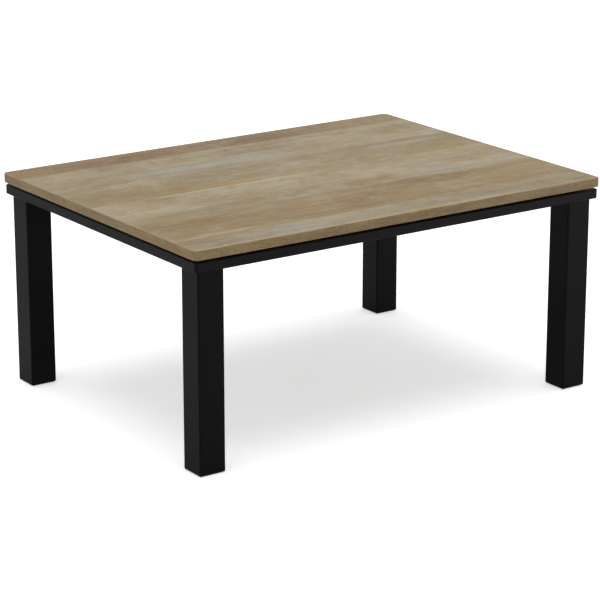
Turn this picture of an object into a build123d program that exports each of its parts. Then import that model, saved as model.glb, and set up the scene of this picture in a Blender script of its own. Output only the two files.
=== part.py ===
"""Kotatsu: a low heated table.

A loose wood-print board rests on four rubber pads on a thin mitred frame. Each square leg is bolted up
into the frame's corner through two rails. A fan-assisted quartz heater hangs from two crossbars.

Millimetres. X is the long side, Y the short side, Z is up, and the origin is on the floor at the centre.
"""
from build123d import *
import os
from math import atan, degrees, sqrt

# ---------------------------------------------------------------- driving dimensions
LENGTH = 800
WIDTH = 600
HEIGHT = 365

# loose top board
TOP_THICKNESS = 15
TOP_CORNER = 10
TOP_ARRIS = 1.2
SHEET = 0.8
BAND = 1.5

# frame
QUILT_GAP = 4.5
FRAME_THICKNESS = 16
FRAME_SETBACK = 3
FRAME_CORNER = 5
FRAME_ARRIS = 1.2
RAIL_WIDTH = 57
CROSSBAR_WIDTH = 40
CROSSBAR_CENTRE = 165

# legs and what fastens them
LEG_SIDE = 47
LEG_INSET = 9
LEG_ARRIS = 2.5
FOOT_PAD_SIDE = 40
FOOT_PAD_THICKNESS = 1.6
BOLT_OFFSET = 12
BOLT_LENGTH = 28
BOLT_RADIUS = 2.95
BOLT_BORE_RADIUS = 3
BOLT_HEAD_RADIUS = 5.75
BOLT_HEAD_HEIGHT = 4
PLATE_LENGTH = 44
PLATE_WIDTH = 20
PLATE_THICKNESS = 1.6
PLATE_HOLE_RADIUS = 3.3
POCKET_DEPTH = 7
INSERT_RADIUS = 5.8
INSERT_LENGTH = 20

# joinery: loose tongues across the mitres, stub tenons on the crossbars
TONGUE_ACROSS = 22
TONGUE_ALONG = 15
TONGUE_THICKNESS = 4
TONGUE_REACHES = (9, 43)
TENON_WIDTH = 24
TENON_LENGTH = 14
TENON_THICKNESS = 8

# rubber pads under the board
SLIP_PAD_SIDE = 24
SLIP_PAD_X = 300

# heater unit
CASING_LENGTH = 272
CASING_WIDTH = 188
CASING_RISE = 12
CASING_CORNER = 14
PAN_BEVEL = 2.5
STEEL = 0.8
REFLECTOR_STEEL = 0.6
REFLECTOR_MARGIN = 4
GUARD_LENGTH = 292
GUARD_WIDTH = 208
GUARD_DEPTH = 30.7
GUARD_CORNER = 16
GUARD_WALL = 2
GUARD_INSET = 4
GUARD_LIP = 8
GRILLE_THICKNESS = 3
SLAT_PITCH = 12
SLAT_GAP = 8
SLOT_LENGTH = 52
SLOT_ROW_PITCH = 58
SLOTS_PER_ROW = 21
SLOT_ROWS = 3
SLOT_DRAFT = 8
TUBE_RADIUS = 5
TUBE_BORE_RADIUS = 4.2
TUBE_HALF_LENGTH = 119
TUBE_OFFSET = 66
TUBE_DROP = 14.7
TROUGH_RADIUS = 19
TROUGH_HALF_LENGTH = 120
COIL_RADIUS = 3.2
COIL_HALF_LENGTH = 108
COIL_LEAD_RADIUS = 1.2
COIL_LEAD_END = 131
CAP_SIDE = 14
CAP_START = 112
CAP_END = 128
FAN_HOLE_RADIUS = 45
FAN_COLLAR = 16
FAN_RADIUS = 41
FAN_HUB_RADIUS = 13
FAN_HEIGHT = 12
FAN_BLADES = 7
FAN_BOTTOM = 308
BLADE_THICKNESS = 1.2
BLADE_CHORD = 24
BLADE_CAMBER = 2.5
BLADE_PITCH = 26
MOTOR_RADIUS = 21
MOTOR_HEIGHT = 12
MOTOR_BOSS_RADIUS = 6
MOTOR_BOSS_HEIGHT = 3
MOTOR_BRACKET = 1.2
STRAP_LENGTH = 66
STRAP_WIDTH = 14
SHAFT_RADIUS = 1.5
SHAFT_CLEARANCE = 0.05
GUARD_SCREW_X = 133
GUARD_SCREW_Y = 92
GUARD_SCREW_RADIUS = 1.5
GUARD_SCREW_HEAD = (2.9, 1.8)
COUNTERBORE = (3.2, 4)
BOSS_HALF = 4
MOUNT_SCREW_X = 155
MOUNT_SCREW_Y = 45
MOUNT_SCREW_RADIUS = 1.8
MOUNT_SCREW_HEAD = (4, 2.4)
MOUNT_SCREW_LENGTH = 12
INLET_START = 146.5
INLET_END = 172
INLET_WIDTH = 36
INLET_HEIGHT = 23
RECESS_WIDTH = 28
RECESS_HEIGHT = 15
RECESS_DEPTH = 18
PIN_RADIUS = 2
PIN_SPACING = 13
NECK_WIDTH = 20
NECK_HEIGHT = 15
NECK_START = 134
WIRE_RADIUS = 0.8
TERMINAL_X = (84, 108)
TERMINAL_PITCH = 12
FUSE_PLACE = (-88, -16)
FUSE_HALF_LENGTH = 9
FUSE_AXIS_HEIGHT = 3.4
THERMOSTAT_PLACE = (-88, 16)
THERMOSTAT_RADIUS = 7.5
LEAD_RISE_X = 123

# ---------------------------------------------------------------- levels and places that follow
BOARD_UNDERSIDE = HEIGHT - TOP_THICKNESS
FRAME_TOP = BOARD_UNDERSIDE - QUILT_GAP
FRAME_BOTTOM = FRAME_TOP - FRAME_THICKNESS
FRAME_MIDDLE = FRAME_TOP - FRAME_THICKNESS / 2
FRAME_X = LENGTH / 2 - FRAME_SETBACK
FRAME_Y = WIDTH / 2 - FRAME_SETBACK
INNER_X = FRAME_X - RAIL_WIDTH
INNER_Y = FRAME_Y - RAIL_WIDTH
LEG_X = FRAME_X - LEG_INSET - LEG_SIDE / 2
LEG_Y = FRAME_Y - LEG_INSET - LEG_SIDE / 2
POCKET_FLOOR = FRAME_TOP - POCKET_DEPTH

FLANGE_BOTTOM = FRAME_BOTTOM - STEEL
CASING_TOP = FRAME_BOTTOM + CASING_RISE
REFLECTOR_BOTTOM = FLANGE_BOTTOM - REFLECTOR_STEEL
GUARD_BOTTOM = FLANGE_BOTTOM - GUARD_DEPTH
GUARD_TAPER = degrees(atan(GUARD_INSET / GUARD_DEPTH))
GRILLE_BOTTOM = GUARD_BOTTOM + GUARD_WALL
GRILLE_TOP = GRILLE_BOTTOM + GRILLE_THICKNESS
TUBE_Z = FLANGE_BOTTOM - TUBE_DROP
MOTOR_TOP = CASING_TOP - STEEL - MOTOR_BRACKET
MOTOR_BOTTOM = MOTOR_TOP - MOTOR_HEIGHT
SHAFT_TOP = MOTOR_TOP - 3
TERMINAL_WAYS = [(way - 1.5) * TERMINAL_PITCH for way in range(4)]

CORNERS = {
    "front_left": (-1, -1),
    "front_right": (1, -1),
    "back_left": (-1, 1),
    "back_right": (1, 1),
}


# ---------------------------------------------------------------- small helpers
def slab(length, width, bottom, top, corner=0.0):
    """A flat block centred on the table's axis, with rounded corners in plan."""
    outline = RectangleRounded(length, width, corner) if corner else Rectangle(length, width)
    return extrude(Pos(0, 0, bottom) * outline, top - bottom)


def post(x, y, bottom, top, radius):
    """An upright cylinder between two levels."""
    return Pos(x, y, (bottom + top) / 2) * Cylinder(radius, top - bottom)


def stud(x, y, bottom, top, radius):
    """An upright twelve-sided rod, for small shanks and bores, whose many repeats need few facets."""
    return extrude(Pos(x, y, bottom) * RegularPolygon(radius, 12), top - bottom)


def rod(x_start, x_end, y, z, radius):
    """A cylinder that lies along X."""
    middle = Pos((x_start + x_end) / 2, y, z)
    return middle * Rot(0, 90, 0) * Cylinder(radius, x_end - x_start)


def block(x_range, y_range, z_range):
    """A box given by its limits on each axis."""
    sizes = [high - low for low, high in (x_range, y_range, z_range)]
    centre = [(high + low) / 2 for low, high in (x_range, y_range, z_range)]
    return Pos(*centre) * Box(*sizes)


def bevel_top_and_bottom(shape, width):
    """Bevel the outer edges of a block's top and bottom faces."""
    levels = shape.edges().group_by(Axis.Z)
    return chamfer(levels[-1] + levels[0], width)


def mirrored_places(x, y):
    """The four places that mirror one place in both centre planes."""
    return [(side_x * x, side_y * y) for side_x, side_y in CORNERS.values()]


# ---------------------------------------------------------------- loose top board
def top_board():
    """Fibreboard core, printed sheets on both faces, and a band round the edge."""
    inner_length = LENGTH - 2 * BAND
    inner_width = WIDTH - 2 * BAND
    inner_corner = TOP_CORNER - BAND

    band = slab(LENGTH, WIDTH, BOARD_UNDERSIDE, HEIGHT, TOP_CORNER)
    band = fillet(band.edges().group_by(Axis.Z)[-1], TOP_ARRIS)
    band -= slab(inner_length, inner_width, BOARD_UNDERSIDE, HEIGHT, inner_corner)

    def layer(bottom, top):
        return slab(inner_length, inner_width, bottom, top, inner_corner)

    return {
        "edge_band": band,
        "top_surface_sheet": layer(HEIGHT - SHEET, HEIGHT),
        "top_core": layer(BOARD_UNDERSIDE + SHEET, HEIGHT - SHEET),
        "top_back_sheet": layer(BOARD_UNDERSIDE, BOARD_UNDERSIDE + SHEET),
    }


# ---------------------------------------------------------------- frame
def bolt_places():
    """Two bolts to a leg, one each side of the mitre, so that each rail is held."""
    shift = BOLT_OFFSET / sqrt(2)
    places = []
    for side_x, side_y in CORNERS.values():
        places.append((side_x * (LEG_X + shift), side_y * (LEG_Y - shift)))
        places.append((side_x * (LEG_X - shift), side_y * (LEG_Y + shift)))
    return places


def corner_places(height):
    """The place over each leg at one height, turned so that its X runs square across the mitre."""
    return [
        Pos(side_x * LEG_X, side_y * LEG_Y, height) * Rot(0, 0, -45 * side_x * side_y)
        for side_x, side_y in CORNERS.values()
    ]


def mitre_tongues():
    """Two loose tongues across each mitre, one each side of the leg plate."""
    tongues = []
    for side_x, side_y in CORNERS.values():
        for reach in TONGUE_REACHES:
            place = Pos(side_x * (INNER_X + reach), side_y * (INNER_Y + reach), FRAME_MIDDLE)
            tongue = Box(TONGUE_ACROSS, TONGUE_ALONG, TONGUE_THICKNESS)
            tongues.append(place * Rot(0, 0, -45 * side_x * side_y) * tongue)
    return tongues


def crossbar_tenons():
    """The stub tenons at both ends of both crossbars."""
    tenon = Box(TENON_WIDTH, TENON_LENGTH, TENON_THICKNESS)
    places = mirrored_places(CROSSBAR_CENTRE, INNER_Y + TENON_LENGTH / 2)
    return [Pos(x, y, FRAME_MIDDLE) * tenon for x, y in places]


def rail_outline(along_x, side):
    """The mitred trapezium that cuts one rail out of the ring, generous on the outside."""
    spare = 20
    outer_x = FRAME_X + spare
    outer_y = FRAME_Y + spare
    if along_x:
        near, far = side * INNER_Y, side * outer_y
        return Polygon((-INNER_X, near), (INNER_X, near), (outer_x, far), (-outer_x, far), align=None)
    near, far = side * INNER_X, side * outer_x
    return Polygon((near, -INNER_Y), (near, INNER_Y), (far, outer_y), (far, -outer_y), align=None)


def frame_rails():
    """Four rails cut from one bevelled ring at the mitres, with pockets, bores and mortises."""
    ring = slab(2 * FRAME_X, 2 * FRAME_Y, FRAME_BOTTOM, FRAME_TOP, FRAME_CORNER)
    ring = bevel_top_and_bottom(ring, FRAME_ARRIS)
    ring -= slab(2 * INNER_X, 2 * INNER_Y, FRAME_BOTTOM, FRAME_TOP)

    cuts = mitre_tongues() + crossbar_tenons()
    for place in corner_places(POCKET_FLOOR):
        cuts.append(place * extrude(Rectangle(PLATE_LENGTH, PLATE_WIDTH), POCKET_DEPTH))
    for x, y in bolt_places():
        cuts.append(stud(x, y, FRAME_BOTTOM, POCKET_FLOOR, BOLT_BORE_RADIUS))
    bored_ring = ring - cuts

    rails = {}
    sides = {"front": (True, -1), "back": (True, 1), "left": (False, -1), "right": (False, 1)}
    for name, (along_x, side) in sides.items():
        outline = Pos(0, 0, FRAME_BOTTOM) * rail_outline(along_x, side)
        rails[f"frame_rail_{name}"] = bored_ring & extrude(outline, FRAME_THICKNESS, dir=(0, 0, 1))
    return rails


def crossbars():
    """Two bars across the frame that carry the heater, with stub tenons and pilot holes."""
    pilot_top = FLANGE_BOTTOM + MOUNT_SCREW_LENGTH
    bars = {}
    for name, side in (("left", -1), ("right", 1)):
        bar = Pos(side * CROSSBAR_CENTRE, 0, FRAME_MIDDLE) * Box(CROSSBAR_WIDTH, 2 * INNER_Y, FRAME_THICKNESS)
        bar = chamfer(bar.edges().filter_by(Axis.Y), FRAME_ARRIS)
        bar += [tenon for tenon in crossbar_tenons() if tenon.center().X * side > 0]
        pilots = [
            stud(side * MOUNT_SCREW_X, y, FRAME_BOTTOM, pilot_top, MOUNT_SCREW_RADIUS)
            for y in (-MOUNT_SCREW_Y, MOUNT_SCREW_Y)
        ]
        bars[f"crossbar_{name}"] = bar - pilots
    return bars


def slip_pad_places():
    """One pad near each end of the two long rails."""
    return mirrored_places(SLIP_PAD_X, FRAME_Y - RAIL_WIDTH / 2)


def slip_pads():
    """Rubber pads on the long rails, which carry the board and hold the gap for the quilt."""
    pad = Pos(0, 0, (FRAME_TOP + BOARD_UNDERSIDE) / 2) * Box(SLIP_PAD_SIDE, SLIP_PAD_SIDE, QUILT_GAP)
    return {f"slip_pad_{name}": Pos(x, y, 0) * pad for name, (x, y) in zip(CORNERS, slip_pad_places())}


# ---------------------------------------------------------------- legs and leg fasteners
def legs():
    """Square legs with eased corners, bored from the top for the inserts, on felt pads."""
    shapes = {}
    for name, (side_x, side_y) in CORNERS.items():
        outline = RectangleRounded(LEG_SIDE, LEG_SIDE, LEG_ARRIS)
        bottom = Pos(side_x * LEG_X, side_y * LEG_Y, FOOT_PAD_THICKNESS)
        leg = extrude(bottom * outline, FRAME_BOTTOM - FOOT_PAD_THICKNESS)
        leg = chamfer(leg.edges().group_by(Axis.Z)[0], 1)
        shapes[f"leg_{name}"] = leg - [Pos(x, y, 0) * insert_barrel() for x, y in bolt_places()]
        pad = Box(FOOT_PAD_SIDE, FOOT_PAD_SIDE, FOOT_PAD_THICKNESS)
        shapes[f"foot_pad_{name}"] = Pos(side_x * LEG_X, side_y * LEG_Y, FOOT_PAD_THICKNESS / 2) * pad
    return shapes


def insert_barrel():
    """The six-sided body of an insert, level with the leg's top."""
    outline = Pos(0, 0, FRAME_BOTTOM - INSERT_LENGTH) * RegularPolygon(INSERT_RADIUS, 6)
    return extrude(outline, INSERT_LENGTH)


def leg_fasteners():
    """Inserts in the legs, steel plates across the mitres, and bolts with hexagon heads."""
    insert = insert_barrel() - stud(0, 0, FRAME_BOTTOM - INSERT_LENGTH, FRAME_BOTTOM, BOLT_BORE_RADIUS)

    plate = extrude(Rectangle(PLATE_LENGTH, PLATE_WIDTH), PLATE_THICKNESS)
    for x in (-BOLT_OFFSET, BOLT_OFFSET):
        plate -= stud(x, 0, 0, PLATE_THICKNESS, PLATE_HOLE_RADIUS)

    seat = POCKET_FLOOR + PLATE_THICKNESS
    head = extrude(Pos(0, 0, seat) * RegularPolygon(BOLT_HEAD_RADIUS, 6), BOLT_HEAD_HEIGHT)
    bolt = head + stud(0, 0, seat - BOLT_LENGTH, seat, BOLT_RADIUS)
    return {
        "leg_inserts": Compound([Pos(x, y, 0) * insert for x, y in bolt_places()]),
        "leg_plates": Compound([place * plate for place in corner_places(POCKET_FLOOR)]),
        "leg_bolts": Compound([Pos(x, y, 0) * bolt for x, y in bolt_places()]),
    }


# ---------------------------------------------------------------- heater shells
def heater_casing():
    """Drawn steel pan with a flat flange, fixing tabs, stiffening beads and a ring of air slots."""
    pan = slab(CASING_LENGTH, CASING_WIDTH, FRAME_BOTTOM - STEEL, CASING_TOP, CASING_CORNER)
    pan = chamfer(pan.edges().group_by(Axis.Z)[-1], PAN_BEVEL)
    inner_length = CASING_LENGTH - 2 * STEEL
    inner_width = CASING_WIDTH - 2 * STEEL
    hollow = slab(inner_length, inner_width, FLANGE_BOTTOM, CASING_TOP - STEEL, CASING_CORNER - STEEL)
    hollow = chamfer(hollow.edges().group_by(Axis.Z)[-1], PAN_BEVEL - STEEL / 2)

    casing = pan + slab(GUARD_LENGTH, GUARD_WIDTH, FLANGE_BOTTOM, FRAME_BOTTOM, GUARD_CORNER)
    tab_reach, tab_width = 2 * MOUNT_SCREW_X + 22, 26
    for shift in (-MOUNT_SCREW_Y, MOUNT_SCREW_Y):
        casing += Pos(0, shift, 0) * slab(tab_reach, tab_width, FLANGE_BOTTOM, FRAME_BOTTOM)
    casing += block((0, INLET_END - 4), (-INLET_WIDTH / 2, INLET_WIDTH / 2), (FLANGE_BOTTOM, FRAME_BOTTOM))

    bead_length, bead_width, bead_rise, bead_y = 190, 12, 1.6, 72
    for side in (-1, 1):
        outer = Rectangle(bead_length, bead_width)
        inner = Rectangle(bead_length - 2 * STEEL, bead_width - 2 * STEEL)
        casing += extrude(Pos(0, side * bead_y, CASING_TOP - STEEL) * outer, bead_rise + STEEL, taper=25)
        hollow += extrude(Pos(0, side * bead_y, CASING_TOP - 2 * STEEL) * inner, bead_rise + STEEL, taper=25)
    casing -= hollow

    slot = Pos(0, 0, CASING_TOP) * Box(15, 4, 4)
    slots = [place * slot for place in PolarLocations(33, 12, start_angle=15)]
    screw_slot = Box(7, 2 * MOUNT_SCREW_RADIUS + 0.4, 4 * STEEL)
    for x, y in mirrored_places(MOUNT_SCREW_X, MOUNT_SCREW_Y):
        slots.append(Pos(x, y, FLANGE_BOTTOM) * screw_slot)
    for x, y in mirrored_places(GUARD_SCREW_X, GUARD_SCREW_Y):
        slots.append(stud(x, y, FLANGE_BOTTOM, FRAME_BOTTOM, GUARD_SCREW_RADIUS))
    return casing - slots


def heater_reflector():
    """Polished sheet with an arched trough over each tube, a drawn fan collar and notched corners."""
    length = GUARD_LENGTH - 2 * REFLECTOR_MARGIN
    width = GUARD_WIDTH - 2 * REFLECTOR_MARGIN
    sheet = slab(length, width, REFLECTOR_BOTTOM, FLANGE_BOTTOM, GUARD_CORNER - REFLECTOR_MARGIN)
    above = block(
        (-TROUGH_HALF_LENGTH, TROUGH_HALF_LENGTH), (-width / 2, width / 2), (REFLECTOR_BOTTOM, CASING_TOP)
    )
    for side in (-1, 1):
        reach = (-TROUGH_HALF_LENGTH, TROUGH_HALF_LENGTH, side * TUBE_OFFSET, TUBE_Z)
        outer = rod(*reach, TROUGH_RADIUS + REFLECTOR_STEEL)
        sheet = (sheet + (outer & above)) - rod(*reach, TROUGH_RADIUS)
    sheet += post(0, 0, FLANGE_BOTTOM - FAN_COLLAR, FLANGE_BOTTOM, FAN_HOLE_RADIUS + REFLECTOR_STEEL)
    sheet -= post(0, 0, FLANGE_BOTTOM - FAN_COLLAR, FLANGE_BOTTOM, FAN_HOLE_RADIUS)
    spare = 5
    notch = Box(2 * (BOSS_HALF + spare), 2 * (BOSS_HALF + spare), 4 * STEEL)
    notch_places = mirrored_places(GUARD_SCREW_X + spare, GUARD_SCREW_Y + spare)
    cuts = [Pos(x, y, FLANGE_BOTTOM) * notch for x, y in notch_places]
    lead_opening = Pos(LEAD_RISE_X + 1, 0, FLANGE_BOTTOM) * Box(8, 52, 4 * STEEL)
    return sheet - cuts - lead_opening


def tapered_tray(length, width, corner, top, depth):
    """A solid that narrows downwards from a rounded rectangle, with the moulding's draft."""
    face = Plane(origin=(0, 0, top), x_dir=(1, 0, 0), z_dir=(0, 0, -1))
    return extrude(face * RectangleRounded(length, width, corner), depth, taper=GUARD_TAPER)


def guard_frame():
    """Moulded skirt with draft, a lip that carries the grille, screw bosses, catches and side vents."""
    skirt = tapered_tray(GUARD_LENGTH, GUARD_WIDTH, GUARD_CORNER, FLANGE_BOTTOM, GUARD_DEPTH)
    skirt = chamfer(skirt.edges().group_by(Axis.Z)[0], 2)
    inner_length = GUARD_LENGTH - 2 * GUARD_WALL
    inner_width = GUARD_WIDTH - 2 * GUARD_WALL
    inner_corner = GUARD_CORNER - GUARD_WALL
    hollow = tapered_tray(inner_length, inner_width, inner_corner, FLANGE_BOTTOM, GUARD_DEPTH - GUARD_WALL)
    shell = skirt - hollow

    window_length = GUARD_LENGTH - 2 * (GUARD_INSET + GUARD_WALL + GUARD_LIP)
    window_width = GUARD_WIDTH - 2 * (GUARD_INSET + GUARD_WALL + GUARD_LIP)
    shell -= slab(window_length, window_width, GUARD_BOTTOM, GRILLE_BOTTOM)

    boss_height = FLANGE_BOTTOM - GRILLE_BOTTOM
    boss = Pos(0, 0, GRILLE_BOTTOM + boss_height / 2) * Box(2 * BOSS_HALF, 2 * BOSS_HALF, boss_height)
    bore = stud(0, 0, GRILLE_BOTTOM, FLANGE_BOTTOM, GUARD_SCREW_RADIUS)
    head_radius, head_depth = COUNTERBORE
    counterbore = stud(0, 0, GUARD_BOTTOM, GUARD_BOTTOM + head_depth, head_radius)
    for x, y in mirrored_places(GUARD_SCREW_X, GUARD_SCREW_Y):
        shell += Pos(x, y, 0) * (boss - bore)
        shell -= Pos(x, y, 0) * counterbore

    vent_count, vent_pitch, vent_width, vent_height = 9, 22, 8, 11
    vent = Pos(0, 0, GUARD_BOTTOM + 17) * Box(vent_width, GUARD_WIDTH + 10, vent_height)
    vents = [place * vent for place in GridLocations(vent_pitch, 0, vent_count, 1)]
    notch = block(
        (GUARD_LENGTH / 2 - 12, GUARD_LENGTH / 2 + 1),
        (-NECK_WIDTH / 2, NECK_WIDTH / 2),
        (REFLECTOR_BOTTOM - NECK_HEIGHT, FLANGE_BOTTOM),
    )
    return shell - vents - notch


def guard_grille():
    """Flat moulded grille of slats with drafted sides, stiffened by ribs, seated on the skirt's lip."""
    fit = 0.4
    # the skirt's inner face narrows by the draft down to the grille's underside
    narrowing = 2 * (GUARD_DEPTH - GUARD_WALL) * GUARD_INSET / GUARD_DEPTH
    length = GUARD_LENGTH - 2 * GUARD_WALL - narrowing - 2 * fit
    width = GUARD_WIDTH - 2 * GUARD_WALL - narrowing - 2 * fit
    corner = GUARD_CORNER - GUARD_WALL - narrowing / 2 - fit
    plate = slab(length, width, GRILLE_BOTTOM, GRILLE_TOP, corner)

    slot_mouth = Pos(0, 0, GRILLE_BOTTOM) * Rectangle(SLAT_GAP, SLOT_LENGTH)
    slot = extrude(slot_mouth, GRILLE_THICKNESS, taper=SLOT_DRAFT)
    cuts = [place * slot for place in GridLocations(SLAT_PITCH, SLOT_ROW_PITCH, SLOTS_PER_ROW, SLOT_ROWS)]
    notch_side = 2 * (BOSS_HALF + fit)
    for x, y in mirrored_places(GUARD_SCREW_X, GUARD_SCREW_Y):
        cuts.append(Pos(x, y, GRILLE_BOTTOM) * Box(notch_side, notch_side, 4 * GRILLE_THICKNESS))
    plate -= cuts

    rib_half = (SLOTS_PER_ROW * SLAT_PITCH) / 2
    for side in (-1, 1):
        y = side * SLOT_ROW_PITCH / 2
        plate += block((-rib_half, rib_half), (y - 1.2, y + 1.2), (GRILLE_TOP, GRILLE_TOP + 2))
    return plate


# ---------------------------------------------------------------- heating elements
def quartz_tubes():
    """Two quartz tubes, each with its coil, ceramic end caps and sheet brackets."""
    shapes = {}
    caps = []
    brackets = []
    for name, side in (("front", -1), ("back", 1)):
        y = side * TUBE_OFFSET
        tube = rod(-TUBE_HALF_LENGTH, TUBE_HALF_LENGTH, y, TUBE_Z, TUBE_RADIUS)
        tube -= rod(-TUBE_HALF_LENGTH, TUBE_HALF_LENGTH, y, TUBE_Z, TUBE_BORE_RADIUS)
        shapes[f"quartz_tube_{name}"] = tube

        lead = Plane.YZ.offset(-COIL_LEAD_END) * Pos(y, TUBE_Z) * RegularPolygon(COIL_LEAD_RADIUS, 6)
        coil = rod(-COIL_HALF_LENGTH, COIL_HALF_LENGTH, y, TUBE_Z, COIL_RADIUS)
        shapes[f"heating_coil_{name}"] = coil + extrude(lead, 2 * COIL_LEAD_END)

        for end in (-1, 1):
            caps.append(Pos(0, y, TUBE_Z) * Rot(0, 0, 90 - 90 * end) * end_cap())
            brackets.append(tube_bracket(end, y))
    shapes["tube_end_caps"] = Compound(caps)
    shapes["tube_brackets"] = Compound(brackets)
    return shapes


def end_cap():
    """A square ceramic holder at the +X end, bored for the tube, with the coil's lead leaving it."""
    middle = Pos((CAP_START + CAP_END) / 2, 0, 0)
    holder = middle * Box(CAP_END - CAP_START, CAP_SIDE, CAP_SIDE)
    return holder - rod(CAP_START, CAP_END, 0, 0, TUBE_RADIUS)


def tube_bracket(end, y):
    """A sheet plate that closes the trough's end, holds the cap, and stands on two folded feet."""
    end_face = Plane.YZ.offset(end * TROUGH_HALF_LENGTH)
    plate_half, drop = 22, 24
    foot_length, foot_width = 9, 7
    above = 20
    flat = Pos(y, REFLECTOR_BOTTOM - drop / 2) * Rectangle(2 * plate_half, drop)
    arch = Pos(y, TUBE_Z) * Circle(TROUGH_RADIUS)
    arch &= Pos(y, REFLECTOR_BOTTOM + above / 2) * Rectangle(2 * plate_half, above)
    outline = flat + arch - Pos(y, TUBE_Z) * Rectangle(CAP_SIDE, CAP_SIDE)
    plate = extrude(end_face * outline, -end * STEEL)
    plate = chamfer(plate.edges().filter_by(Axis.X).group_by(Axis.Z)[0], 4)
    for side in (-1, 1):
        near, far = sorted((side * (plate_half - foot_width), side * plate_half))
        foot_x = sorted((end * (TROUGH_HALF_LENGTH - STEEL), end * (TROUGH_HALF_LENGTH + foot_length)))
        plate += block(foot_x, (y + near, y + far), (REFLECTOR_BOTTOM - STEEL, REFLECTOR_BOTTOM))
    return plate


# ---------------------------------------------------------------- fan
def blade_section():
    """A thin cambered section, pitched about its middle."""
    half = BLADE_CHORD / 2
    rise = BLADE_CAMBER
    leading = Line((-half, 0), (-half, BLADE_THICKNESS))
    outer = ThreePointArc((-half, BLADE_THICKNESS), (0, BLADE_THICKNESS + rise), (half, BLADE_THICKNESS))
    trailing = Line((half, BLADE_THICKNESS), (half, 0))
    inner = ThreePointArc((half, 0), (0, rise), (-half, 0))
    return Rot(0, 0, BLADE_PITCH) * Pos(0, -rise / 2) * make_face(Wire([leading, outer, trailing, inner]))


def fan_rotor():
    """A moulded axial rotor: a hub with cambered, pitched blades that widen outwards."""
    hub_top = FAN_BOTTOM + FAN_HEIGHT
    middle = FAN_BOTTOM + FAN_HEIGHT / 2
    inside_the_hub = 2
    root = Plane(origin=(FAN_HUB_RADIUS - inside_the_hub, 0, middle), x_dir=(0, 1, 0), z_dir=(1, 0, 0))
    blade = extrude(root * blade_section(), FAN_RADIUS - FAN_HUB_RADIUS + inside_the_hub)
    root_half, tip_half = 4, BLADE_CHORD / 2
    corners = [(0, -root_half), (FAN_RADIUS, -tip_half), (FAN_RADIUS, tip_half), (0, root_half)]
    plan = Polygon(*corners, align=None)
    spare = 4
    blade &= extrude(Pos(0, 0, FAN_BOTTOM - spare) * plan, FAN_HEIGHT + 2 * spare)

    rotor = post(0, 0, FAN_BOTTOM, hub_top, FAN_HUB_RADIUS)
    for index in range(FAN_BLADES):
        rotor += Rot(0, 0, index * 360 / FAN_BLADES) * blade
    return rotor - post(0, 0, FAN_BOTTOM + 2, hub_top, SHAFT_RADIUS)


def fan_drive():
    """The motor on the strap welded inside the casing's top, and the shaft that carries the rotor."""
    boss_bottom = MOTOR_BOTTOM - MOTOR_BOSS_HEIGHT
    motor = post(0, 0, MOTOR_BOTTOM, MOTOR_TOP, MOTOR_RADIUS)
    motor = chamfer(motor.edges().group_by(Axis.Z)[0], 1.5)
    motor += post(0, 0, boss_bottom, MOTOR_BOTTOM, MOTOR_BOSS_RADIUS)
    motor -= post(0, 0, boss_bottom, SHAFT_TOP + 1, SHAFT_RADIUS + SHAFT_CLEARANCE)

    strap = Pos(0, 0, MOTOR_TOP + MOTOR_BRACKET / 2) * Box(STRAP_LENGTH, STRAP_WIDTH, MOTOR_BRACKET)
    return {
        "fan_motor": motor,
        "motor_bracket": strap,
        "fan_shaft": post(0, 0, FAN_BOTTOM + 2, SHAFT_TOP, SHAFT_RADIUS),
        "fan_rotor": fan_rotor(),
    }


# ---------------------------------------------------------------- heater fasteners and electrics
def upward_screw(radius, length, head):
    """A screw driven upwards, whose head sits under the origin."""
    head_radius, head_height = head
    return stud(0, 0, 0, length, radius) + stud(0, 0, -head_height, 0, head_radius)


def heater_screws():
    """Screws that hold the guard and reflector to the casing, and the casing to the crossbars."""
    seat = GUARD_BOTTOM + COUNTERBORE[1]
    tip = FRAME_BOTTOM + 2
    guard_screw = upward_screw(GUARD_SCREW_RADIUS, tip - seat, GUARD_SCREW_HEAD)
    mount_screw = upward_screw(MOUNT_SCREW_RADIUS, MOUNT_SCREW_LENGTH, MOUNT_SCREW_HEAD)
    guard_places = mirrored_places(GUARD_SCREW_X, GUARD_SCREW_Y)
    mount_places = mirrored_places(MOUNT_SCREW_X, MOUNT_SCREW_Y)
    return {
        "guard_screws": Compound([Pos(x, y, seat) * guard_screw for x, y in guard_places]),
        "heater_mount_screws": Compound([Pos(x, y, FLANGE_BOTTOM) * mount_screw for x, y in mount_places]),
    }


def power_inlet():
    """Appliance inlet: a moulded block with a shrouded recess, a neck into the guard, and two round pins."""
    top = FLANGE_BOTTOM
    neck_top = REFLECTOR_BOTTOM
    body = block((INLET_START, INLET_END), (-INLET_WIDTH / 2, INLET_WIDTH / 2), (top - INLET_HEIGHT, top))
    body = chamfer(body.edges().filter_by(Axis.X).group_by(Axis.Z)[0], 3)
    middle = top - INLET_HEIGHT / 2 - 0.5
    recess = Pos(INLET_END - RECESS_DEPTH / 2, 0, middle) * Box(RECESS_DEPTH, RECESS_WIDTH, RECESS_HEIGHT)
    recess = chamfer(recess.edges().filter_by(Axis.X), 2)
    neck_y = (-NECK_WIDTH / 2, NECK_WIDTH / 2)
    neck = block((NECK_START, INLET_START), neck_y, (neck_top - NECK_HEIGHT, neck_top))
    body = body + neck - recess
    pins = []
    pin_back = INLET_START + 2
    pin_front = INLET_END - 3
    for side in (-1, 1):
        y = side * PIN_SPACING / 2
        body -= rod(pin_back, INLET_END - RECESS_DEPTH, y, middle, PIN_RADIUS)
        pins.append(rod(pin_back, pin_front, y, middle, PIN_RADIUS))
    return {"inlet_socket": body, "inlet_pins": Compound(pins)}


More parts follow.
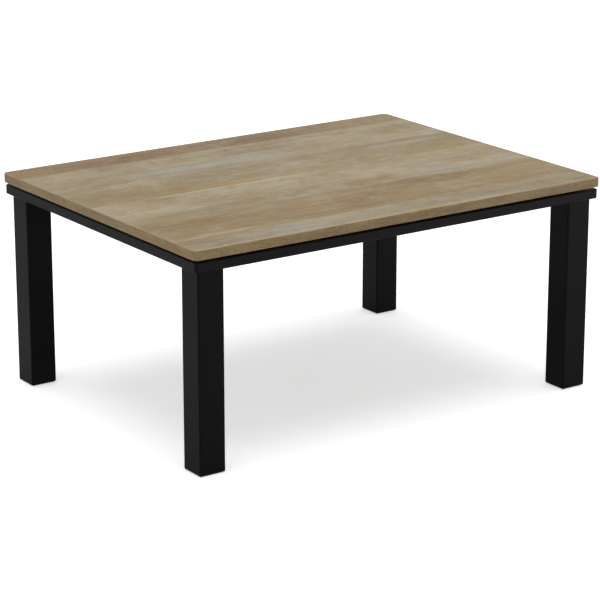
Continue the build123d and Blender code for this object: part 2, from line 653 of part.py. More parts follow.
def thermostat():
    """A bimetal disc thermostat: a round cup on a fixing plate, with two blade terminals."""
    cup = slab(24, 16, 0, 0.8) + post(0, 0, 0.8, 8, THERMOSTAT_RADIUS)
    for side in (-1, 1):
        cup += block((-2.4, 2.4), sorted((side * 4, side * 4.8)), (8, 10.5))
    return Pos(*THERMOSTAT_PLACE, FLANGE_BOTTOM) * cup


def thermal_fuse():
    """A cylindrical fuse in a saddle clip."""
    fuse = rod(-FUSE_HALF_LENGTH, FUSE_HALF_LENGTH, 0, FUSE_AXIS_HEIGHT, 2)
    fuse += block((-3, 3), (-2.6, 2.6), (0, 2.4))
    fuse += block((-3, 3), (-7, 7), (0, 0.8))
    return Pos(*FUSE_PLACE, FLANGE_BOTTOM) * fuse


def terminal_block():
    """A moulded four-way terminal block with screw wells and a wire channel through each way."""
    bottom = FLANGE_BOTTOM
    near, far = TERMINAL_X
    reach = 2 * TERMINAL_PITCH
    body = block((near, far), (-reach, reach), (bottom, bottom + 10))
    for y in TERMINAL_WAYS:
        for x in (near + 6, far - 6):
            body -= block((x - 2.6, x + 2.6), (y - 2.6, y + 2.6), (bottom + 4, bottom + 10))
        body -= block((near, far), (y - 1.6, y + 1.6), (bottom + 3.4, bottom + 6.6))
    return body


def wire(*points):
    """A thin stiff lead of six-sided section along straight runs."""
    path = Polyline(*points)
    start = Plane(origin=path @ 0, z_dir=path % 0)
    return sweep(start * RegularPolygon(WIRE_RADIUS, 6), path=path, transition=Transition.RIGHT)


def lead_wires():
    """Supply leads, tube leads, the jumper between the tubes, and the leads to thermostat and fuse."""
    low = TUBE_Z + 2.5
    high = FLANGE_BOTTOM + 5
    block_end = TERMINAL_X[1] - 3
    block_start = TERMINAL_X[0] + 3
    jumper_x = COIL_LEAD_END - 1.5
    wires = [wire((-jumper_x, -TUBE_OFFSET, low), (-jumper_x, TUBE_OFFSET, low))]
    for side in (-1, 1):
        inner_way, outer_way = side * TERMINAL_WAYS[2], side * TERMINAL_WAYS[3]
        wires.append(wire(
            (NECK_START, inner_way, low + 2), (LEAD_RISE_X, inner_way, low + 2),
            (LEAD_RISE_X, inner_way, high), (block_end, inner_way, high),
        ))
        wires.append(wire(
            (jumper_x, side * TUBE_OFFSET, low), (jumper_x, side * 22, low),
            (LEAD_RISE_X, outer_way, high), (block_end, outer_way, high),
        ))

    thermostat_x, thermostat_y = THERMOSTAT_PLACE
    cup_side = (thermostat_x, thermostat_y + THERMOSTAT_RADIUS + WIRE_RADIUS, FLANGE_BOTTOM + 5.5)
    wires.append(wire(
        (block_start, TERMINAL_WAYS[3], high), (70, TERMINAL_WAYS[3], high), (58, 49, high),
        (-72, 49, high), cup_side,
    ))
    fuse_x, fuse_y = FUSE_PLACE
    axis = FLANGE_BOTTOM + FUSE_AXIS_HEIGHT
    fuse_end = fuse_x + FUSE_HALF_LENGTH
    wires.append(wire(
        (block_start, TERMINAL_WAYS[0], high), (70, TERMINAL_WAYS[0], high), (58, -49, high),
        (-40, -49, high), (fuse_end + 16, fuse_y, axis), (fuse_end, fuse_y, axis),
    ))
    return Compound(wires)


# ---------------------------------------------------------------- assembly
def all_pieces():
    """Every piece by its node name."""
    pieces = {}
    pieces.update(top_board())
    pieces.update(frame_rails())
    pieces["mitre_tongues"] = Compound(mitre_tongues())
    pieces.update(crossbars())
    pieces.update(slip_pads())
    pieces.update(legs())
    pieces.update(leg_fasteners())
    pieces["heater_casing"] = heater_casing()
    pieces["heater_reflector"] = heater_reflector()
    pieces["guard_frame"] = guard_frame()
    pieces["guard_grille"] = guard_grille()
    pieces.update(quartz_tubes())
    pieces.update(fan_drive())
    pieces.update(heater_screws())
    pieces.update(power_inlet())
    pieces["thermostat"] = thermostat()
    pieces["thermal_fuse"] = thermal_fuse()
    pieces["terminal_block"] = terminal_block()
    pieces["lead_wires"] = lead_wires()
    return pieces


os.makedirs("parts", exist_ok=True)
for node, shape in all_pieces().items():
    export_step(shape, f"parts/{node}.step")
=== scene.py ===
# %% [markdown]
# # Dressing a heated low table
# A kotatsu is a low table with a heater under it. A loose board printed like old oak planks rests on a
# thin black frame, four square legs are bolted up into that frame, and a flat heater with two quartz
# tubes and a fan hangs from two crossbars.
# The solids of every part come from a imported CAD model, which stays where it is. This script gives each
# part its finish, and adds the small forms that read better as fine surfaces than as solids.

from math import cos, pi, radians, sin

import bmesh
import bpy
import numpy as np
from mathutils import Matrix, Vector


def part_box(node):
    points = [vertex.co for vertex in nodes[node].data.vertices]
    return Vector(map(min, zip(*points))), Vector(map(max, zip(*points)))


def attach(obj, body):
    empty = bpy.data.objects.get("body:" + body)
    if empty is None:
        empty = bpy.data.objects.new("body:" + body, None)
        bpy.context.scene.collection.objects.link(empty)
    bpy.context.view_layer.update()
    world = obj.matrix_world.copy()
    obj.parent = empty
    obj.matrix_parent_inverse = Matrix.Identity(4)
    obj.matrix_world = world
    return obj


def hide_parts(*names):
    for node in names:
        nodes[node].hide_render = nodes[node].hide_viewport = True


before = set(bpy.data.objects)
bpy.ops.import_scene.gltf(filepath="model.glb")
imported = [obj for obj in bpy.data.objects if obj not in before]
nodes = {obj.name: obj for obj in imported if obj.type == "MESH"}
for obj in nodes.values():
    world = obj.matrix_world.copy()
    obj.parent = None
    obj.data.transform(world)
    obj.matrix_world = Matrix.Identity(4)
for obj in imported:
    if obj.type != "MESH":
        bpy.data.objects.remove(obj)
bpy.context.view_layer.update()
MM = 0.001
print("parts loaded:", len(nodes))

# %% [markdown]
# # Shader maths as plain sums
# A finish is a formula: grain plus patches, times a tint. In the node editor each sum and product is one
# node and its wires, which soon hides the formula. A small class that holds a socket and overloads the
# arithmetic operators lets Python write the formula, while every operation still adds its own Math node.

# %% A field is a value that varies over a surface
class Field:
    """A number, colour or place that varies over a surface, held as the socket that carries it."""

    def __init__(self, finish, socket):
        self.finish = finish
        self.socket = socket

    def __add__(self, other):
        return self.finish.math("ADD", self, other)

    __radd__ = __add__

    def __sub__(self, other):
        return self.finish.math("SUBTRACT", self, other)

    def __rsub__(self, other):
        return self.finish.math("SUBTRACT", other, self)

    def __mul__(self, other):
        return self.finish.math("MULTIPLY", self, other)

    __rmul__ = __mul__

    def __abs__(self):
        return self.finish.math("ABSOLUTE", self)

    def exponential(self):
        return self.finish.math("EXPONENT", self)

    def above(self, edge):
        """One where the field is over the edge, else nought."""
        return self.finish.math("GREATER_THAN", self, edge)

    def ramp(self, low, high):
        """Rises smoothly from nought at low to one at high; it falls instead where low is the larger."""
        settings = {"interpolation_type": "SMOOTHSTEP"}
        inputs = {"Value": self, "From Min": low, "From Max": high}
        return self.finish.node("ShaderNodeMapRange", settings, inputs)

    def spread(self, low, high):
        """Carries nought to low and one to high in a straight line."""
        return self * (high - low) + low


# %% A finish is a material with one way to add a node
def tone(red, green, blue):
    """A colour given as on a screen, from 0 to 255, as the linear colour that a shader takes."""
    screen = np.array([red, green, blue]) / 255
    linear = np.where(screen <= 0.04045, screen / 12.92, ((screen + 0.055) / 1.055) ** 2.4)
    return (*linear.tolist(), 1.0)


class Finish:
    """A material under construction."""

    def __init__(self, name):
        self.material = bpy.data.materials.new(name)
        self.material.use_nodes = True
        self.tree = self.material.node_tree
        self.shader = self.tree.nodes["Principled BSDF"]
        self.place = self.node("ShaderNodeTexCoord", {}, {}, "Object")

    def node(self, kind, settings, inputs, output=0):
        """Adds a node: its settings first, then a value or a link for each named or numbered socket."""
        added = self.tree.nodes.new(kind)
        for name, value in settings.items():
            setattr(added, name, value)
        for name, value in inputs.items():
            if isinstance(value, Field):
                self.tree.links.new(value.socket, added.inputs[name])
            else:
                added.inputs[name].default_value = value
        return Field(self, added.outputs[output])

    def set(self, sockets):
        """Gives the shader's sockets their values or links."""
        for name, value in sockets.items():
            if isinstance(value, Field):
                self.tree.links.new(value.socket, self.shader.inputs[name])
            else:
                self.shader.inputs[name].default_value = value

    def math(self, operation, first, second=0.0):
        return self.node("ShaderNodeMath", {"operation": operation}, {0: first, 1: second})

    def axes(self, place=None):
        """The three coordinates of a place, each as its own field."""
        place = place or self.place
        parts = self.node("ShaderNodeSeparateXYZ", {}, {0: place})
        return [Field(self, parts.socket.node.outputs[axis]) for axis in range(3)]

    def point(self, x, y, z):
        return self.node("ShaderNodeCombineXYZ", {}, {0: x, 1: y, 2: z})

    def stretched(self, scale):
        """The place with each axis scaled: a pattern is drawn out along the axis with the small factor."""
        return self.node("ShaderNodeVectorMath", {"operation": "MULTIPLY"}, {0: self.place, 1: scale})

    def noise(self, place, scale=1.0, detail=3.0, roughness=0.5):
        inputs = {"Vector": place, "Scale": scale, "Detail": detail, "Roughness": roughness}
        return self.node("ShaderNodeTexNoise", {}, inputs, "Fac")

    def mix(self, first, second, share):
        """A colour between two, with no share of the second at nought and all of it at one."""
        return self.node("ShaderNodeMix", {"data_type": "RGBA"}, {0: share, 6: first, 7: second}, 2)

    def bump(self, height, depth):
        """A normal that leans with a height from nought to one, which stands for a depth in metres."""
        return self.node("ShaderNodeBump", {}, {"Height": height, "Distance": depth}, "Normal")


print("shader helpers ready")

# %% [markdown]
# # The printed board
# The board's face is a paper print of wide, weathered oak planks under a clear satin coat. The planks run
# the long way and differ mainly in tone, and their joints are soft, some with a fine dark or pale line.
# A picture could be laid on the board, but a formula keeps its sharpness at any distance: measure where
# we are across the planks, blend one plank's tone into the next at each joint, then lay broad, drawn-out
# patches of a few named tones over them, and grain over all.

# %% The tones of weathered oak
OAK = {
    "umber": tone(123, 98, 66),
    "bark": tone(113, 87, 54),
    "russet": tone(142, 113, 78),
    "ochre": tone(154, 130, 81),
    "straw": tone(180, 164, 124),
    "gleam": tone(200, 186, 152),
    "buff": tone(154, 135, 102),
    "taupe": tone(137, 121, 97),
    "rose": tone(151, 134, 111),
    "ash": tone(161, 157, 144),
    "chalk": tone(177, 169, 148),
}
FIRST_PLANK = tone(140, 118, 86)
# each joint's distance from the back edge and softness in millimetres, and the tone of the plank after it
PLANKS = [
    (59, 4, tone(157, 144, 116)),
    (184, 5, tone(147, 132, 99)),
    (292, 3, tone(161, 147, 117)),
    (420, 3, tone(145, 126, 90)),
    (541, 4, tone(153, 140, 112)),
]
print("tones:", len(OAK), "planks:", len(PLANKS) + 1)

# %% Patches and lines of tone
# middle along and across the planks, half length and half width in millimetres, tone and strength
PATCHES = [
    (240, 40, 150, 26, "bark", 0.95), (475, 38, 120, 26, "bark", 1.1), (735, 34, 130, 34, "buff", 0.7),
    (60, 30, 90, 24, "russet", 0.3), (560, 92, 260, 24, "chalk", 0.3), (70, 112, 110, 34, "buff", 0.45),
    (165, 121, 50, 8, "taupe", 0.85), (232, 152, 78, 24, "ash", 0.75), (405, 146, 76, 34, "ash", 0.7),
    (742, 164, 90, 22, "ash", 0.7), (700, 110, 130, 26, "straw", 0.3), (320, 176, 70, 6, "taupe", 0.7),
    (60, 232, 110, 36, "umber", 0.35), (285, 226, 66, 30, "taupe", 0.6), (460, 214, 120, 22, "taupe", 0.4),
    (330, 276, 180, 12, "ochre", 1.1), (690, 216, 130, 26, "rose", 0.75), (770, 278, 90, 12, "ochre", 1.1),
    (560, 262, 160, 18, "ochre", 0.4), (310, 320, 120, 26, "chalk", 0.55), (70, 366, 100, 17, "chalk", 0.8),
    (520, 350, 80, 20, "chalk", 0.5), (616, 398, 66, 20, "ash", 1.0), (400, 398, 210, 24, "umber", 0.75),
    (110, 406, 150, 14, "taupe", 0.7), (735, 352, 90, 44, "rose", 0.6), (80, 456, 130, 30, "umber", 0.6),
    (160, 496, 80, 22, "russet", 0.5), (352, 492, 74, 36, "russet", 0.75), (574, 448, 66, 26, "bark", 0.9),
    (470, 526, 110, 16, "russet", 0.5), (270, 470, 60, 40, "buff", 0.5), (700, 470, 90, 40, "ochre", 0.35),
    (64, 533, 90, 6, "straw", 0.8), (220, 571, 130, 26, "ash", 0.9), (40, 566, 70, 24, "umber", 0.7),
    (520, 560, 160, 18, "taupe", 0.8),
]
# lines at the joints: distance from the back, from and to along the planks, half width, tone and strength
JOINT_LINES = [
    (177, -20, 170, 1.6, "bark", 0.55), (180, 268, 352, 1.4, "bark", 0.35), (185, 30, 180, 1.5, "straw", 0.4),
    (294, 120, 415, 4.2, "gleam", 0.9), (296, 430, 560, 3.0, "straw", 0.6),
    (297, 690, 800, 4.0, "gleam", 0.5), (424, 600, 800, 3.0, "straw", 0.5),
    (543, -20, 140, 1.6, "bark", 0.4), (61, 380, 640, 1.5, "bark", 0.25), (592, -20, 820, 6.0, "chalk", 0.45),
]
print("patches:", len(PATCHES), "joint lines:", len(JOINT_LINES))


# %% The plank print as one formula
BOARD_LENGTH, BOARD_WIDTH = 800, 600
# how far noise pushes a patch along and across the planks and a joint across them, in millimetres
PATCH_DRIFT, PATCH_SWAY, JOINT_SWAY = 200, 44, 7
# a joint line fades in and out over this many millimetres on each side of its ends
LINE_FADE = 25


def plank_print(finish):
    """Tone = plank tones blended at their joints, then each patch mixed in by exp(-d squared), then lines."""
    x, y, _ = finish.axes()
    along = x * 1000 + BOARD_LENGTH / 2
    across = BOARD_WIDTH / 2 - y * 1000
    plank = sum((across.above(edge) for edge, _, _ in PLANKS[1:]), across.above(PLANKS[0][0]))

    # patches wander: the place is pushed about by noise, much more along the planks than across
    drift_place = finish.point(along * 0.007, across * 0.02, plank * 5.3)
    drift = finish.noise(drift_place, detail=6.0, roughness=0.65) - 0.5
    sway_place = finish.point(along * 0.01, across * 0.03, plank * 3.1 + 40)
    sway = finish.noise(sway_place, detail=6.0, roughness=0.65) - 0.5
    patch_along = along + drift * PATCH_DRIFT
    patch_across = across + sway * PATCH_SWAY
    joint_across = across + sway * JOINT_SWAY

    past = [joint_across.ramp(edge - softness, edge + softness) for edge, softness, _ in PLANKS]
    colour = FIRST_PLANK
    for (_, _, plank_tone), share in zip(PLANKS, past):
        colour = finish.mix(colour, plank_tone, share)

    # a patch stays within its own plank, and it is denser in some spots than in others
    within = [1 - past[0], *((before * (1 - after)) for before, after in zip(past, past[1:])), past[-1]]
    mottle = finish.noise(finish.point(along * 0.012, across * 0.03, plank * 8.7), detail=7.0, roughness=0.7)
    density = mottle.ramp(0.3, 0.72).spread(0.5, 1.35)
    share_within = [window * density for window in within]
    for middle_along, middle_across, half_along, half_across, name, strength in PATCHES:
        run = (patch_along - middle_along) * (1 / half_along)
        rise = (patch_across - middle_across) * (1 / half_across)
        nearness = (0 - (run * run + rise * rise)).exponential()
        own_plank = sum(middle_across > edge for edge, _, _ in PLANKS)
        colour = finish.mix(colour, OAK[name], nearness * share_within[own_plank] * strength)
    for place, start, stop, half_width, name, strength in JOINT_LINES:
        line = abs(joint_across - place).ramp(half_width, 0)
        after_start = along.ramp(start - LINE_FADE, start + LINE_FADE)
        span = after_start * along.ramp(stop + LINE_FADE, stop - LINE_FADE)
        colour = finish.mix(colour, OAK[name], line * span * strength)
    return colour, along, across, plank


# %% Grain over the print
def oak_grain(finish, along, across, plank):
    """Long streaks at three widths, from noise drawn out along the planks and begun afresh on each."""
    seed = plank * 11.7
    broad = finish.noise(finish.point(along * 0.004, across * 0.07, seed), detail=4.0, roughness=0.55)
    fine = finish.noise(finish.point(along * 0.012, across * 0.55, seed + 20), detail=5.0, roughness=0.65)
    ticks = finish.noise(finish.point(along * 0.06, across * 1.6, seed + 50), detail=2.0)
    pores = ticks.ramp(0.64, 0.74)
    return broad, fine, pores


def printed_oak():
    finish = Finish("printed_oak")
    colour, along, across, plank = plank_print(finish)
    broad, fine, pores = oak_grain(finish, along, across, plank)
    # a cloudy print: the same noise at every size from a hand down to a grain, nearly as wide as it is long
    cloud = finish.noise(finish.point(along * 0.004, across * 0.006, plank * 6.1), detail=7.0, roughness=0.8)
    colour = finish.mix(colour, OAK["chalk"], cloud.ramp(0.5, 0.66) * 0.55)
    colour = finish.mix(colour, OAK["umber"], cloud.ramp(0.5, 0.34) * 0.55)
    fleck = finish.noise(finish.point(along * 0.03, across * 0.06, plank * 2.9), detail=6.0, roughness=0.85)
    colour = finish.mix(colour, OAK["chalk"], fleck.ramp(0.5, 0.68) * 0.38)
    colour = finish.mix(colour, OAK["bark"], fleck.ramp(0.5, 0.32) * 0.36)
    # and its hue wanders apart from its tone, towards gold or towards grey
    hue_place = finish.point(along * 0.009, across * 0.013, plank * 4.3 + 9)
    hue = finish.noise(hue_place, detail=6.0, roughness=0.75)
    colour = finish.mix(colour, OAK["ochre"], hue.ramp(0.5, 0.68) * 0.4)
    colour = finish.mix(colour, OAK["rose"], hue.ramp(0.5, 0.32) * 0.4)
    # the first plank, up to its joint, shows the cross marks of a rough saw
    saw_marks = finish.noise(finish.point(along * 0.18, across * 0.03, 7.0), detail=2.0).ramp(0.5, 0.7)
    first_joint = PLANKS[0][0]
    on_first = across.ramp(first_joint + 3, first_joint - 3)
    colour = finish.mix(colour, OAK["bark"], saw_marks * on_first * 0.35)
    colour = finish.mix(colour, OAK["chalk"], broad.ramp(0.52, 0.78) * 0.4)
    colour = finish.mix(colour, OAK["umber"], broad.ramp(0.48, 0.22) * 0.45)
    colour = finish.mix(colour, OAK["bark"], fine.ramp(0.5, 0.25) * 0.5)
    colour = finish.mix(colour, OAK["straw"], fine.ramp(0.52, 0.78) * 0.4)
    colour = finish.mix(colour, tone(84, 64, 46), pores * 0.3)
    finish.set({
        "Base Color": colour,
        "Roughness": fine.spread(0.46, 0.56) + pores * 0.1,
        "Specular IOR Level": 0.1,
        "Normal": finish.bump(fine * 0.6 - pores, 0.00004),
    })
    return finish


def dress(finish, *names):
    """Gives CAD parts a finish, in place of the plain one they came with."""
    for name in names:
        materials = nodes[name].data.materials
        materials.clear()
        materials.append(finish.material)
    print(f"{finish.material.name}: {', '.join(names)}")


oak = printed_oak()
dress(oak, "top_surface_sheet")
print("nodes in the plank print:", len(oak.tree.nodes))

# %% [markdown]
# # Surfaces from two parameters
# The CAD model gives each part's size and seat. Some forms are better drawn as fine surfaces: a grid of
# points worked out from two parameters, such as how far along a path and how far round it. The points are
# computed as whole arrays, joined by four-sided faces, welded where rows meet, and shaded smooth except
# across sharp edges.

# %% Grids of points become meshes
WELD = 2e-6


def grid_faces(rows, columns, wrap_rows, wrap_columns):
    """Each face joins row i, i + 1 and column j, j + 1, going round again where the grid wraps."""
    i, j = np.meshgrid(
        np.arange(rows if wrap_rows else rows - 1),
        np.arange(columns if wrap_columns else columns - 1),
        indexing="ij",
    )
    corners = [(i, j), (i, j + 1), (i + 1, j + 1), (i + 1, j)]
    faces = np.stack([(a % rows) * columns + b % columns for a, b in corners], axis=-1)
    chart = np.stack([np.stack([a, b], axis=-1) for a, b in corners], axis=-2)
    return faces.reshape(-1, 4), chart.reshape(-1, 2)


def piece(name, grids, finish, body, slot, replaced, wrap_rows=False, wrap_columns=True, crease=38):
    """One object from one or more grids in metres. Its UV map is the grid's row and column. The weld joins
    the rows that meet, open ends are closed, and edges sharper than the crease in degrees stay sharp."""
    points, faces, charts, start = [], [], [], 0
    for grid in grids:
        rows, columns = grid.shape[:2]
        quads, chart = grid_faces(rows, columns, wrap_rows, wrap_columns)
        points.append(grid.reshape(-1, 3))
        faces.append(quads + start)
        charts.append(chart)
        start += rows * columns
    mesh = bpy.data.meshes.new(name)
    mesh.from_pydata(np.concatenate(points).tolist(), [], np.concatenate(faces).tolist())
    chart_places = np.concatenate(charts).astype(np.float32).ravel()
    mesh.uv_layers.new(name="run").uv.foreach_set("vector", chart_places)

    work = bmesh.new()
    work.from_mesh(mesh)
    bmesh.ops.remove_doubles(work, verts=work.verts, dist=WELD)
    holes = [edge for edge in work.edges if edge.is_boundary]
    bmesh.ops.holes_fill(work, edges=holes)
    bmesh.ops.recalc_face_normals(work, faces=work.faces)
    work.to_mesh(mesh)
    work.free()

    mesh.polygons.foreach_set("use_smooth", np.ones(len(mesh.polygons), bool))
    mesh.set_sharp_from_angle(angle=radians(crease))
    mesh.materials.append(finish.material)
    made = bpy.data.objects.new(name, mesh)
    bpy.context.scene.collection.objects.link(made)
    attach(made, body)
    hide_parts(*replaced)
    print(f"{name}: {len(mesh.polygons)} faces")
    return made


# %% Turned forms and tubes along a path
STEPS_ROUND = 48


def turned(profile):
    """Radius r and height z of each profile point, at every angle a: (r cos a, r sin a, z)."""
    radius, height = np.asarray(profile, float).T[..., None]
    angle = np.linspace(0, 2 * pi, STEPS_ROUND, endpoint=False)
    return np.stack([radius * np.cos(angle), radius * np.sin(angle), height + 0 * angle], axis=-1)


def arc(centre, radii, start, stop, steps=6):
    """Profile points on an ellipse: centre plus (a cos t, b sin t) from one angle to another, in degrees."""
    t = np.radians(np.linspace(start, stop, steps))
    return np.stack([centre[0] + radii[0] * np.cos(t), centre[1] + radii[1] * np.sin(t)], axis=-1).tolist()


def tube(path, radius, side, sides=10):
    """A ring of radius r round each path point: point + r (n cos a + b sin a), n and b square to the path.
    The side vector must nowhere run along the path."""
    forward = np.gradient(path, axis=0)
    forward /= np.linalg.norm(forward, axis=1, keepdims=True)
    n = np.cross(forward, side)
    n /= np.linalg.norm(n, axis=1, keepdims=True)
    b = np.cross(forward, n)
    angle = np.linspace(0, 2 * pi, sides, endpoint=False)[:, None]
    radius = np.broadcast_to(radius, len(path))[:, None, None]
    return path[:, None] + radius * (n[:, None] * np.cos(angle) + b[:, None] * np.sin(angle))


def moved(grid, *places):
    """The same grid at each place, in metres."""
    return [grid + np.asarray(place, float) for place in places]


print("surface helpers ready")

# %% [markdown]
# # The edge band
# The band is a strip of the same wood print, glued round the board's edge and trimmed with a small round
# along its top. The round catches the light from above, which gives the board its fine outline. A band is a
# profile carried round a rounded rectangle: one parameter goes round the board, the other goes round the
# band's own section. The print's grain runs along whichever side it is on.

# %% A section carried round a rounded rectangle
def carried_round(half_sizes, corner, section, steps=12):
    """Round the corners, p = corner's centre + radius (cos a, sin a); each section point is p less its inset
    times (cos a, sin a), at its own height."""
    quarter = np.linspace(0, pi / 2, steps)
    angle = (quarter + np.arange(4)[:, None] * pi / 2).ravel()
    outward = np.stack([np.cos(angle), np.sin(angle)], axis=-1)
    signs = np.repeat(np.array([[1, 1], [-1, 1], [-1, -1], [1, -1]]), steps, axis=0)
    outline = signs * (np.asarray(half_sizes) - corner) + corner * outward
    plan = outline[:, None] - outward[:, None] * section[None, :, :1]
    height = np.broadcast_to(section[None, :, 1:], (len(outline), len(section), 1))
    return np.concatenate([plan, height], axis=-1)


# %% The band's section
BAND_LOW, BAND_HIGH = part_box("edge_band")
BOARD_CORNER = 10 * MM
BAND_THICKNESS = 1.5 * MM
TOP_ROUND = 0.7 * MM
FOOT_ROUND = 0.4 * MM


def band_section():
    """Inset and height, from the foot of the inner face, up the outer face and over the top round."""
    low, high = BAND_LOW.z, BAND_HIGH.z
    foot = arc((FOOT_ROUND, low + FOOT_ROUND), (-FOOT_ROUND, -FOOT_ROUND), 90, 0, 4)
    over = arc((TOP_ROUND, high - TOP_ROUND), (-TOP_ROUND, TOP_ROUND), 0, 90, 8)
    return np.array([[BAND_THICKNESS, low], *foot, *over, [BAND_THICKNESS, high]])


band_grid = carried_round((BAND_HIGH.x, BAND_HIGH.y), BOARD_CORNER, band_section())
print("band: points round the board and round its section", band_grid.shape[:2])


# %% The band's print follows the edge
def printed_edge():
    """Oak tones drawn out along the edge, and darker than the face; its two ends, facing left and right,
    carry painted light that makes them a little paler.
    """
    finish = Finish("printed_edge")
    x, y, z = finish.axes()
    facing = finish.node("ShaderNodeNewGeometry", {}, {}, "Normal")
    # one where the band faces within 45 degrees of left or right
    end_face = abs(finish.axes(facing)[0]).above(0.707)
    along = (x + (y - x) * end_face) * 1000
    height = z * 1000
    broad = finish.noise(finish.point(along * 0.012, height * 0.06, end_face * 9), detail=4.0)
    fine_place = finish.point(along * 0.05, height * 0.5, end_face * 5 + 3)
    fine = finish.noise(fine_place, detail=6.0, roughness=0.75)
    tick_place = finish.point(along * 0.16, height * 0.7, end_face * 3 + 8)
    ticks = finish.noise(tick_place, detail=4.0, roughness=0.7)
    colour = finish.mix(tone(152, 131, 93), tone(137, 114, 82), broad.ramp(0.35, 0.65))
    colour = finish.mix(colour, tone(176, 156, 116), fine.ramp(0.5, 0.7) * 0.75)
    colour = finish.mix(colour, tone(104, 84, 60), fine.ramp(0.5, 0.3) * 0.7)
    colour = finish.mix(colour, tone(80, 62, 44), ticks.ramp(0.54, 0.72) * 0.75)
    colour = finish.mix(colour, tone(192, 174, 132), ticks.ramp(0.46, 0.3) * 0.5)
    # painted light: the band's ends are mixed a tenth towards a paler tone, standing in for the light that
    # falls on the left end
    colour = finish.mix(colour, tone(170, 150, 122), end_face * 0.1)
    finish.set({
        "Base Color": colour,
        "Roughness": fine.spread(0.46, 0.56),
        "Specular IOR Level": 0.15,
        "Normal": finish.bump(fine, 0.00003),
    })
    return finish


edge = printed_edge()
piece("board_edge_band", [band_grid], edge, "board", "edge_print", ["edge_band"], wrap_rows=True)

# %% [markdown]
# # Core and backing of the board
# Between the sheets lies medium-density fibreboard, a brown felt of fine wood fibre. The underside
# carries a plain pale backing paper, so that the board doesn't bow.

# %% Fibreboard and backing paper
def fibreboard():
    finish = Finish("fibreboard")
    fibres = finish.noise(finish.stretched((900, 900, 2600)), detail=4.0, roughness=0.7)
    finish.set({
        "Base Color": finish.mix(tone(158, 124, 86), tone(120, 88, 58), fibres.ramp(0.35, 0.7)),
        "Roughness": 0.9,
        "Normal": finish.bump(fibres, 0.0001),
    })
    return finish


def backing_paper():
    finish = Finish("backing_paper")
    cloud = finish.noise(finish.place, scale=9.0, detail=4.0)
    fleck = finish.noise(finish.stretched((160, 700, 400)), detail=4.0, roughness=0.7)
    colour = finish.mix(tone(196, 188, 172), tone(182, 172, 154), cloud.ramp(0.3, 0.7))
    colour = finish.mix(colour, tone(160, 148, 128), fleck.ramp(0.56, 0.78) * 0.5)
    finish.set({
        "Base Color": colour,
        "Roughness": fleck.spread(0.55, 0.7),
        "Normal": finish.bump(fleck, 0.00003),
    })
    return finish


dress(fibreboard(), "top_core")
dress(backing_paper(), "top_back_sheet")

# %% [markdown]
# # Black film and black coat
# The frame's fibreboard rails are wrapped in a black film with a trace of wood grain pressed into it, and
# the legs have a satin black coat. Black reads by its gloss, not by its colour, so each has a
# nearly black base, a low gloss that wanders a little, and a very fine relief that breaks the reflection.

# %% Film on the rails, coat on the legs
def black_coat(name, base, worn, grain_scale, roughness, specular):
    """A black base lifted a little by long streaks, with gloss and relief from the same streaks."""
    finish = Finish(name)
    streaks = finish.noise(finish.stretched(grain_scale), detail=4.0, roughness=0.6)
    cloud = finish.noise(finish.place, scale=11.0, detail=3.0)
    colour = finish.mix(base, worn, streaks.ramp(0.35, 0.75) * 0.7 + cloud * 0.3)
    finish.set({
        "Base Color": colour,
        "Roughness": cloud.spread(roughness - 0.05, roughness + 0.05) + streaks * 0.06,
        "Specular IOR Level": specular,
        "Normal": finish.bump(streaks, 0.00004),
    })
    return finish


film_base, film_worn = tone(14, 12, 14), tone(21, 19, 22)
film_along_x = black_coat("black_film_long", film_base, film_worn, (14, 500, 500), 0.42, 0.08)
film_along_y = black_coat("black_film_short", film_base, film_worn, (500, 14, 500), 0.42, 0.08)
leg_coat = black_coat("black_leg_coat", tone(7, 6, 7), tone(10, 9, 9), (320, 320, 12), 0.4, 0.068)
dress(film_along_x, "frame_rail_front", "frame_rail_back")
dress(film_along_y, "frame_rail_left", "frame_rail_right")
CORNERS = ["front_left", "front_right", "back_left", "back_right"]
dress(leg_coat, *(f"leg_{corner}" for corner in CORNERS))

# %% [markdown]
# # Bare wood, felt and rubber
# The crossbars and the tongues in the mitres are bare softwood. Felt pads under the legs save the floor,
# and rubber pads between frame and board stop the board from sliding and leave room for the quilt.

# %% Bare wood
def bare_wood(name, scale):
    """Growth lines: nine to a full swing of a slow noise, drawn out along the small factor's axis."""
    finish = Finish(name)
    rings = finish.noise(finish.stretched(scale), detail=3.0, roughness=0.5)
    lines = abs(finish.math("FRACT", rings * 9) - 0.5) * 2
    finer = tuple(7 * factor for factor in scale)
    fibres = finish.noise(finish.stretched(finer), detail=4.0, roughness=0.65)
    colour = finish.mix(tone(214, 184, 138), tone(186, 148, 100), lines.ramp(0.3, 0.95))
    colour = finish.mix(colour, tone(164, 126, 82), fibres.ramp(0.55, 0.8) * 0.5)
    finish.set({
        "Base Color": colour,
        "Roughness": fibres.spread(0.6, 0.75),
        "Normal": finish.bump(fibres, 0.00008),
    })
    return finish


dress(bare_wood("bare_wood_bars", (34, 2.5, 34)), "crossbar_left", "crossbar_right")
dress(bare_wood("bare_wood_tongues", (34, 34, 34)), "mitre_tongues")


# %% Felt foot pads
def felt():
    finish = Finish("felt")
    tangle = finish.noise(finish.stretched((1500, 1500, 2600)), detail=6.0, roughness=0.75)
    cloud = finish.noise(finish.place, scale=120.0, detail=3.0)
    colour = finish.mix(tone(70, 66, 62), tone(108, 102, 96), tangle.ramp(0.35, 0.7))
    colour = finish.mix(colour, tone(52, 50, 48), cloud.ramp(0.55, 0.75) * 0.5)
    finish.set({
        "Base Color": colour,
        "Roughness": 0.95,
        "Sheen Weight": 0.4,
        "Sheen Roughness": 0.6,
        "Normal": finish.bump(tangle, 0.0003),
    })
    return finish


dress(felt(), *(f"foot_pad_{corner}" for corner in CORNERS))


